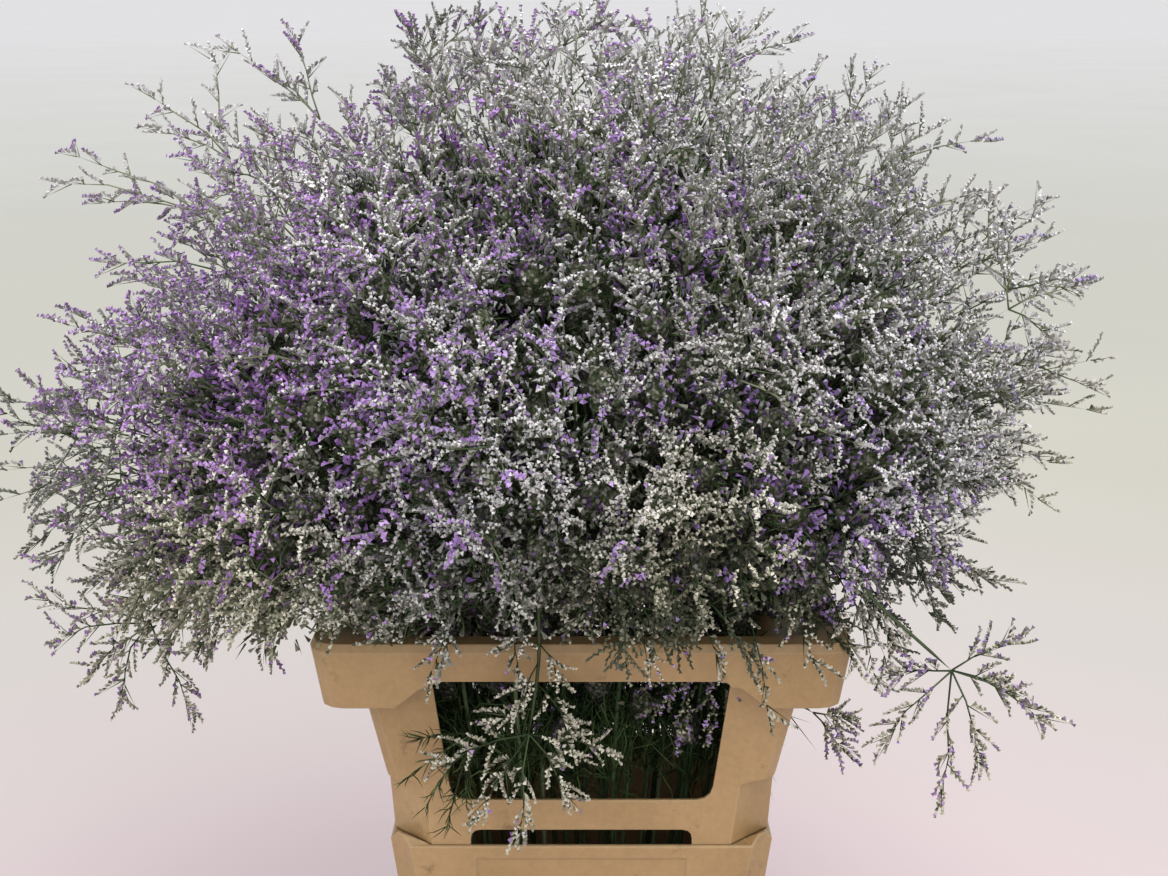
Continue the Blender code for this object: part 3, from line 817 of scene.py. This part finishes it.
def plastic_material():
    """Cream polypropylene: faint mottling, fine scratches, spots of dirt and paler edges."""
    values = {"Subsurface Weight": 0.08, "Subsurface Radius": (0.004, 0.0025, 0.0015)}
    material, tree, shader = new_material("worn_cream_plastic", values)
    base = ramp(tree, noise(tree, 6, 4), [
        (0.35, (0.305, 0.190, 0.082)),
        (0.5, (0.350, 0.222, 0.098)),
        (0.68, (0.405, 0.262, 0.122)),
    ])
    fine = ramp(tree, noise(tree, 180, 5, 0.7), [(0.4, gray(0.90)), (0.6, gray(1))])
    dirt = remap(tree, noise(tree, 34, 6, 0.72), 0.60, 0.72, to_high=0.75)
    base = mixed(tree, dirt, multiplied(tree, base, fine), (0.14, 0.080, 0.035))
    # Paler edges from the bevel normal: partly wear, partly a painted highlight along the rounded
    # edges.
    rounded = node(tree, "Bevel", {"Radius": 0.0022}, samples=4).outputs["Normal"]
    plain = node(tree, "NewGeometry").outputs["Normal"]
    turn = node(tree, "VectorMath", {0: rounded, 1: plain}, operation="DOT_PRODUCT")
    wear_and_highlight = remap(tree, turn.outputs["Value"], 0.99, 0.90, to_high=0.55)
    base = mixed(tree, wear_and_highlight, base, (0.54, 0.385, 0.215))
    tree.links.new(base, shader.inputs["Base Color"])
    rough = remap(tree, noise(tree, 22, 5, 0.6), 0.3, 0.7, 0.36, 0.58)
    tree.links.new(rough, shader.inputs["Roughness"])
    stretched = node(
        tree, "Mapping", {"Vector": object_place(tree), "Scale": (60, 60, 900)}
    ).outputs[0]
    scratch = noise(tree, 1.0, 2.0, 0.5, stretched)
    grain = noise(tree, 420, 2)
    height = node(tree, "Math", {0: scratch, 1: grain}, operation="ADD").outputs[0]
    bump = node(tree, "Bump", {
        "Height": height, "Normal": rounded, "Strength": 0.12, "Distance": 0.0006,
    })
    tree.links.new(bump.outputs["Normal"], shader.inputs["Normal"])
    return material


MATERIALS = make_materials()


# Colour zones: violet gathers on the left and in patches, and turns bluer to the right

def patches(place, scale, seed):
    """A smooth value from 0 to 1 that wanders over the mass."""
    rng = np.random.default_rng(seed)
    total = 0.0
    for _ in range(6):
        way = unit(rng.normal(0, 1, 3)) * scale * rng.uniform(0.7, 1.5)
        total += math.sin(float(np.dot(way, place)) + rng.uniform(0, math.tau))
    return 0.5 + total / 6


def zone(place, x, z, wide, high):
    """1 at the middle of an oval zone, falling to 0 around it."""
    return np.exp(-(((place[..., 0] - x) / wide) ** 2 + ((place[..., 2] - z) / high) ** 2))


def bloom_at(place, rng):
    """How much of a spikelet is in flower: most of it in small clusters, next to none elsewhere."""
    left, middle = 1.25 * zone(place, *LEFT_BLOOM), 0.264 * zone(place, *MIDDLE_BLOOM)
    wide = 0.02 + 0.13 * patches(place, 24, 3) ** 2
    chance = (wide + left + middle) * (1 - 0.95 * zone(place, *FADED_FOOT))
    chance = min(chance + 0.30 * zone(place, *RIGHT_BLOOM), 0.92)
    limit = 0.5 + 0.17 * math.log((1 - chance) / chance)
    return rng.uniform(0.75, 1.0) if patches(place, 150, 11) + rng.normal(0, 0.06) > limit else 0.02


def creamy(place):
    """How warm the pale calyces are: cream low on the mass, lilac above."""
    return np.clip((0.66 - place[:, 2]) / 0.16 + 0.5 * np.sin(place[:, 0] * 19), 0, 1)


def hue_at(place):
    return min(max(0.15 + 1.3 * (place[0] + 0.05) + 0.35 * (patches(place, 15, 5) - 0.5), 0), 1)


def painted_light_and_shade(place):
    """Painted light and shade: paler at the top and left, darkest low in the middle and right."""
    light = np.clip(0.36 * (place[..., 2] - 0.60) / 0.3, -0.16, 0.28)
    light += 0.08 * np.exp(-((place[..., 0] + 0.30) / 0.15) ** 2)
    light += 0.12 * zone(place, *LIT_LEFT_FOOT)
    return light - 0.42 * zone(place, *SHADED_FOOT) - 0.32 * zone(place, *SHADED_CORNER)


def green_tint(rng, place):
    """Random tints of stalks and bracts, with painted light and shade: paler at the top, darker
    below.
    """
    return np.clip(rng.uniform(0, 1, len(place)) + 1.8 * painted_light_and_shade(place), 0, 1)


# How pale a spike's florets are: a base tone, random patches and a little paler to the right, plus
# painted light and shade by place.
def pale_and_painted_light_at(place):
    return 0.50 + painted_light_and_shade(place) + 0.08 * place[0] / 0.4 + 0.55 * (patches(place, 26, 9) - 0.5)


# Dressing of one spray

MIDDLE = np.array(MASS_MIDDLE)


def curve(a, knee, b, places, wander=0.0, rng=None):
    t = np.linspace(0, 1, places)[:, None]
    path = a * (1 - t) ** 2 + knee * 2 * t * (1 - t) + b * t ** 2
    if wander:
        way = unit(b - a)
        side = crosswise(way, rng.normal(0, 1, 3))
        sign = np.where(np.arange(places) % 2 > 0, 1.0, -1.0)[:, None]
        sign[[0, -1]] = 0
        path = path + side * sign * wander
    return path


def grow_stalk(growth, path, radii, tint=None, sides=3):
    """One tube along a path, whose radius runs evenly from the first to the last."""
    growth.tubes([path], np.linspace(*radii, len(path))[None], STALK, tint, sides)


def spike(growth, a, b, outward, thick=SPIKE_RADIUS, count=7, bloom=None, pale=None, arch=0.10):
    """A twig from a to b with spikelets that fan from its sides and one at its tip."""
    rng = growth.rng
    a, b = np.array(a), np.array(b)
    way = unit(b - a)
    size = float(np.linalg.norm(b - a))
    lift = crosswise(way, outward + np.array([0, 0, 0.4]))
    path = curve(a, (a + b) / 2 + lift * size * arch, b, 4, size * 0.02, rng)
    grow_stalk(growth, path, (thick, SPIKE_END_RADIUS))
    hue = hue_at(b)
    pale = pale_and_painted_light_at(b) if pale is None else pale
    spin = rng.uniform(0, math.tau)
    across = np.cross(way, lift)
    up = outward * 0.7 + np.array([0, 0, 0.6])
    for k in range(count):
        t = 0.28 + 0.68 * (k + rng.uniform(-0.25, 0.25)) / max(count - 1, 1)
        t = min(max(t, 0.1), 1.0)
        low = int(min(t * 3, 2.999))
        start = path[low] + (path[low + 1] - path[low]) * (t * 3 - low)
        spin += 2.4 + rng.uniform(-0.4, 0.4)
        off = rng.uniform(0.55, 1.05) * (1.15 - 0.5 * t)
        side = lift * math.cos(spin) + across * math.sin(spin)
        aim = unit(way * math.cos(off) + side * math.sin(off) + lift * 0.15)
        flowering = bloom_at(start + aim * 0.012, rng) if bloom is None else bloom
        length = rng.uniform(0.014, 0.025)
        growth.spikelet(start, aim, up + way * 0.3, length, flowering, hue, pale)
    flowering = bloom_at(b, rng) if bloom is None else bloom
    length = rng.uniform(0.012, 0.020)
    growth.spikelet(path[-1] - way * 0.002, way, up, length, flowering, hue, pale)


def low_front(place):
    """1 in the low middle and right of the front, where the spikes stand further apart."""
    return zone(place, *OPEN_FOOT) * (place[1] < 0)


def over_rim(place):
    """Whether a tip would lie on the front rim, which the photo shows bare."""
    top = 0.516 if place[1] < -0.10 else 0.502
    return abs(place[0]) < 0.25 and place[1] < -0.04 and place[2] < top


def loose_left(place):
    return place[0] < -0.29 and place[2] < 0.61


def outward_of(place):
    return unit((np.array(place) - MIDDLE) / np.array([0.41, 0.32, 0.28]) ** 2)


def spread(seats, share, spacing, radii, rng):
    """Spots that lie evenly apart in one layer of the mass, listed by the spray they belong to."""
    kept = np.empty((0, 3))
    by_spray = [[] for _ in seats]
    for _ in range(CANDIDATES):
        turn = rng.uniform(0, math.tau)
        spot = heading(turn) * math.sqrt(rng.uniform(radii[0] ** 2, radii[1] ** 2))
        place = np.array([flow(spot, share)])
        if len(kept) and np.min(np.sum((kept - place) ** 2, axis=1)) < spacing ** 2:
            continue
        kept = np.concatenate([kept, place])
        owner = min(range(len(seats)), key=lambda k: (seats[k] - spot).length_squared)
        by_spray[owner].append(spot)
    return by_spray


def dress_branch(growth, base, fork, tips):
    """A branch that arches up from its base to its fork, and a spike from there to each tip."""
    way = fork - base
    lift = crosswise(unit(way), np.array([0, 0, 1.0])) * np.linalg.norm(way)
    path = curve(base, base + way * 0.45 + lift * 0.12, fork, 7, 0.0018, growth.rng)
    grow_stalk(growth, path, BRANCH_RADII)
    for tip in tips:
        spike(growth, fork, tip, outward_of(fork), count=6)


def dress_spray(index, seats, cover, clumps):
    plan = plan_spray(index, seats)
    growth = Growth(1000 + index)
    rng = growth.rng
    seat = plan.seat

    # the stem, from the bucket's floor into the crown
    stem = np.array([flow(seat, share) for share in np.linspace(0, STEM_END_SHARE, 13)])
    stem[1:-1] += rng.normal(0, 0.0012, (11, 3)) * [1, 1, 0.2]
    grow_stalk(growth, stem, STEM_RADII, sides=5)

    # branches and spikes, from the inside out
    for k, (fork, tips) in enumerate(plan.branches):
        base = np.array(flow(seat, 1.10 + 0.30 * k / len(plan.branches)))
        dress_branch(growth, base, np.array(fork), [tip for tip in tips if not over_rim(tip)])
    for tip in plan.low_spikes:
        base, tip = np.array(flow(seat, 1.25)), np.array(tip)
        if not over_rim(tip):
            spike(growth, base + (tip - base) * 0.35, tip, outward_of(tip))
    for (layer, _, _), spots_by_spray in zip(COVER_LAYERS, cover):
        for spot in spots_by_spray[index]:
            share = layer + rng.uniform(-0.07, 0.05)
            end = np.array(flow(spot, share)) + rng.normal(0, 0.007, 3)
            if over_rim(end) or rng.uniform(0, 1) < 0.35 * low_front(end) + 0.45 * loose_left(end):
                continue
            start = np.array(flow(seat.lerp(spot, 0.75), share - rng.uniform(0.11, 0.17)))
            spike(growth, start, end, outward_of(end))
    for tip in plan.mouth_tips:
        if tip.y >= -0.08:
            spike(growth, flow(seat, MOUTH_SHARE), tip, outward_of(tip), count=5)

    # clumps, twigs and blades inside, and what stands or hangs past the edge
    grow_clumps(growth, [layer[index] for layer in clumps])
    grow_twigs(growth, plan)
    grow_leaves(growth, plan)
    for stray in STRAYS:
        if stray["spray"] == index + 1:
            dress_stray(growth, stray)
    for start, tip in DROOPS:
        if nearest_spray(start, seats) == index:
            spike(growth, start, tip, outward_of(tip), 0.0007, 6, 0.04, 0.75)
    for fork, tips in OUTER_TWIGS:
        fork = np.array(fork)
        if nearest_spray(fork, seats) == index:
            dress_branch(growth, fork + (MIDDLE - fork) * 0.35, fork, tips)
    if index + 1 == WINDOW_SPRAY:
        dress_window(growth)
    growth.made(f"statice_{index + 1:02d}", f"spray_{index + 1:02d}")


def grow_clumps(growth, spots_by_layer):
    """Rough clumps behind the spikes, dark as painted shade, with small dim florets standing all
    over them.
    """
    rng = growth.rng
    sphere, faces = (np.array(part) for part in icosahedron())
    for (share, _, radius, crumbs, _), spots_here in zip(CLUMP_LAYERS, spots_by_layer):
        if not spots_here:
            continue
        shares = share + rng.uniform(-0.04, 0.04, len(spots_here))
        centres = np.array([flow(spot, at) for spot, at in zip(spots_here, shares)])
        behind = np.array([flow(spot, at - 0.05) for spot, at in zip(spots_here, shares)])
        ways = unit(centres - behind)
        n = len(centres)
        radii = (radius * rng.uniform(0.75, 1.2, n))[:, None, None]

        def stretched(spokes, low, high):
            spokes = spokes * radii * rng.uniform(low, high, (*spokes.shape[:2], 1))
            along = np.sum(spokes * ways[:, None], axis=2, keepdims=True)
            return spokes + ways[:, None] * along * 0.35

        spokes = stretched(np.repeat(sphere[None], n, axis=0), 0.55, 1.0)
        # Clump tints: a random tone plus painted light and shade by height.
        tints = rng.normal(0.5, 0.2, (n, len(faces))) + 1.2 * painted_light_and_shade(centres)[:, None]
        tints = np.clip(tints, 0, 1).ravel()
        growth.add(centres[:, None] + spokes, faces, SHADED_TANGLE, tints, apart=True)

        spokes = unit(rng.normal(0, 1, (n, crumbs, 3)) + ways[:, None] * 0.6)
        places = centres[:, None] + stretched(spokes, 0.75, 1.45)
        axes = unit(spokes + ways[:, None] * 0.5 + rng.normal(0, 0.4, (n, crumbs, 3)))
        bloom = np.repeat([bloom_at(c, rng) for c in centres], crumbs)
        hue = np.repeat([hue_at(c) for c in centres], crumbs)
        growth.crumbs(places.reshape(-1, 3), axes.reshape(-1, 3), bloom, hue)


def grow_twigs(growth, plan):
    """Bare twigs of the inside, which show in the gaps."""
    rng = growth.rng
    twigs = []
    for _ in range(TWIGS):
        turn, out = rng.uniform(0, math.tau), math.sqrt(rng.uniform(0.1, 1.0))
        share = rng.uniform(1.30, 1.90)
        end = np.array(plan.place(turn, out, share))
        start = np.array(flow(plan.seat, max(share - rng.uniform(0.15, 0.35), 1.02)))
        middle = (start + end) / 2 + np.array([0, 0, 0.1]) * np.linalg.norm(end - start)
        twigs.append(curve(start, middle, end, 4, 0.002, rng))
    growth.tubes(twigs, TWIG_RADII, STALK, rng.uniform(0, 0.6, TWIGS))


def grow_leaves(growth, plan):
    """Fine grassy side shoots on the lower stem."""
    rng = growth.rng
    blades = []
    for tip in plan.leaf_tips:
        tip = np.array(tip)
        base = np.array(flow(plan.seat, LEAF_SHARE - 0.12))
        for _ in range(BLADES_A_TIP):
            start = base + (tip - base) * rng.uniform(0.0, 0.8)
            start += rng.normal(0, 1, 3) * [0.004, 0.004, 0.02]
            end = start + (tip - start) * 0.7 + rng.normal(0, 1, 3) * [0.018, 0.012, 0.030]
            end[2] -= 0.014
            middle = (start + end) / 2 + rng.normal(0, 0.006, 3) + np.array([0, 0, 0.006])
            blades.append([start, middle, end])
    growth.tubes(blades, BLADE_RADII, LEAF)


def dress_window(growth):
    """The feathery shoots and the hanging florets of the front window."""
    rng = growth.rng
    foot = np.array(SHOOT_FOOT)
    stalks, needles = [], []
    for tip in np.array(SHOOT_TIPS):
        stalk = curve(foot, (foot + tip) / 2 + np.array([0, -0.006, 0.006]), tip, 5)
        stalks.append(stalk)
        for t in rng.uniform(0.25, 1.0, NEEDLES_A_SHOOT):
            start = place_on(stalk, t * 4)
            way = unit(unit(tip - foot) * 1.1 + rng.normal(0, 0.7, 3))
            end = start + way * rng.uniform(0.009, 0.020)
            needles.append([start, (start + end) / 2 + rng.normal(0, 0.001, 3), end])
    growth.tubes(stalks, SHOOT_RADII, STALK)
    growth.tubes(needles, NEEDLE_RADII, LEAF)
    for tip in CORNER_TIPS:
        spike(growth, CORNER_FOOT, tip, np.array([0, -1.0, 0.2]), 0.0007, 8, 0.35, 0.3)


def place_on(path, step):
    """The place a number of steps along a path."""
    return np.array([np.interp(step, range(len(path)), path[:, axis]) for axis in range(3)])


def nearest_spray(place, seats):
    """The number of the spray whose end on the mass lies nearest."""
    ends = [np.linalg.norm(np.array(flow(seat, 1.7)) - place) for seat in seats]
    return int(np.argmin(ends))


def dress_stray(growth, stray):
    """A loose branch along its own path, which starts within the mass."""
    rng = growth.rng
    path = np.array(stray["path"])
    start = path[0] + (path[0] - path[1]) * 0.6 + np.array([0, 0, 0.02])
    line = np.array([start, *path])
    fine = np.array([place_on(line, step) for step in np.linspace(0, len(line) - 1, 9)])
    fine[1:-1] = (fine[:-2] + 2 * fine[1:-1] + fine[2:]) / 4
    grow_stalk(growth, fine, STRAY_RADII, [0.3])
    at_window = stray["spray"] == WINDOW_SPRAY
    if at_window:
        for k in range(2, 9):
            side = (-1) ** k * rng.uniform(0.012, 0.030)
            tip = fine[k] + [side, rng.uniform(-0.008, 0.002), rng.uniform(-0.030, -0.008)]
            outward = np.array([0, -0.6, 0.3])
            spike(growth, fine[k], tip, outward, 0.0006, 5, 0.03, 0.85, rng.uniform(0.1, 0.5))
    for tip in stray["tips"]:
        bloom, pale = (0.05, 0.85) if at_window else (rng.uniform(0.1, 0.5), 0.6)
        outward = np.array([0, -0.5, 0.4])
        spike(growth, path[-1], tip, outward, 0.0009, 9, bloom, pale, rng.uniform(0.05, 0.45))


# Floor, light and camera

FLOOR_HALF = 600
LIGHTS = (  # name, place, target, size, power and colour
    ("key", (0.7, -1.7, 3.2), (0, 0, 0.6), 2.2, 67, (1.0, 0.98, 0.95)),
    ("fill", (-2.4, -1.6, 1.7), (0, 0, 0.5), 2.4, 12, (0.97, 0.98, 1.0)),
    ("front", (0.1, -3.0, 1.5), (0, 0, 0.6), 2.2, 22, (1.0, 0.98, 0.97)),
    ("back", (0.5, 2.6, 2.6), (0, 0, 0.6), 2.4, 14, (1.0, 0.99, 0.97)),
)
PHOTO_WIDTH = 1168
FOCAL_PIXELS = 1850
SENSOR_WIDTH = 36
CAMERA_PLACE = (0.002, -1.42, 0.936)
CAMERA_DOWN = 13.5


def floor_material():
    """Pale, with a faint tint that changes with the distance from the bucket."""
    material, tree, shader = new_material("pale_floor", {"Roughness": 0.9})
    shade = ramp(tree, noise(tree, 0.8, 2), [
        (0.3, (0.70, 0.680, 0.655)),
        (0.7, (0.73, 0.705, 0.68)),
    ])
    away = node(tree, "VectorMath", {0: object_place(tree)}, operation="LENGTH")
    reach_log = node(
        tree, "Math", {0: away.outputs["Value"], 1: 10.0}, operation="LOGARITHM"
    )
    near = ramp(tree, remap(tree, reach_log.outputs[0], -0.4, 1.6), [
        (0.0, (0.79, 0.670, 0.705)),
        (0.10, (0.81, 0.690, 0.720)),
        (0.27, (0.715, 0.685, 0.660)),
        (0.40, (0.705, 0.700, 0.610)),
        (0.55, (0.80, 0.805, 0.71)),
        (0.80, (0.93, 0.935, 0.90)),
        (1.0, gray(1)),
    ])
    tree.links.new(multiplied(tree, shade, near), shader.inputs["Base Color"])
    return material


def make_stage():
    mesh = bpy.data.meshes.new("floor")
    corners = [(x * FLOOR_HALF, y * FLOOR_HALF, 0) for x, y in ((-1, -1), (1, -1), (1, 1), (-1, 1))]
    mesh.from_pydata(corners, [], [(0, 1, 2, 3)])
    mesh.materials.append(floor_material())
    floor = bpy.data.objects.new("floor", mesh)
    bpy.context.scene.collection.objects.link(floor)
    floor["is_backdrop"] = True


def area_light(name, place, target, size, power, color):
    light = bpy.data.lights.new(name, "AREA")
    light.shape = "DISK"
    light.size = size
    light.energy = power
    light.color = color
    made = bpy.data.objects.new(name, light)
    made.location = place
    made.rotation_euler = (Vector(target) - Vector(place)).to_track_quat("-Z", "Y").to_euler()
    bpy.context.scene.collection.objects.link(made)


def make_light():
    world = bpy.data.worlds.new("studio")
    bpy.context.scene.world = world
    world.use_nodes = True
    background = world.node_tree.nodes["Background"]
    background.inputs["Color"].default_value = (0.93, 0.95, 1.0, 1)
    background.inputs["Strength"].default_value = 1.10
    for light in LIGHTS:
        area_light(*light)
    settings = bpy.context.scene.view_settings
    settings.view_transform = "Standard"
    settings.look = "None"


def make_camera():
    camera = bpy.data.cameras.new("camera")
    camera.sensor_width = SENSOR_WIDTH
    camera.lens = FOCAL_PIXELS / PHOTO_WIDTH * SENSOR_WIDTH
    made = bpy.data.objects.new("camera", camera)
    made.location = CAMERA_PLACE
    made.rotation_euler = (math.radians(90 - CAMERA_DOWN), 0, 0)
    bpy.context.scene.collection.objects.link(made)
    bpy.context.scene.camera = made


def dress_container():
    plastic = plastic_material()
    for name in ("bucket", "collar"):
        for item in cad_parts[name].material_slots:
            item.material = plastic


def main():
    dress_container()
    seats = spots()
    rng = np.random.default_rng(SEED)
    cover = [spread(seats, *layer, rng) for layer in COVER_LAYERS]
    clumps = [spread(seats, *layer[:2], layer[-1], rng) for layer in CLUMP_LAYERS]
    for index in range(SPRAYS):
        dress_spray(index, seats, cover, clumps)
    make_stage()
    make_light()
    make_camera()
    boxes = [[list(corner) for corner in box] for box in (cad_box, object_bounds())]


main()
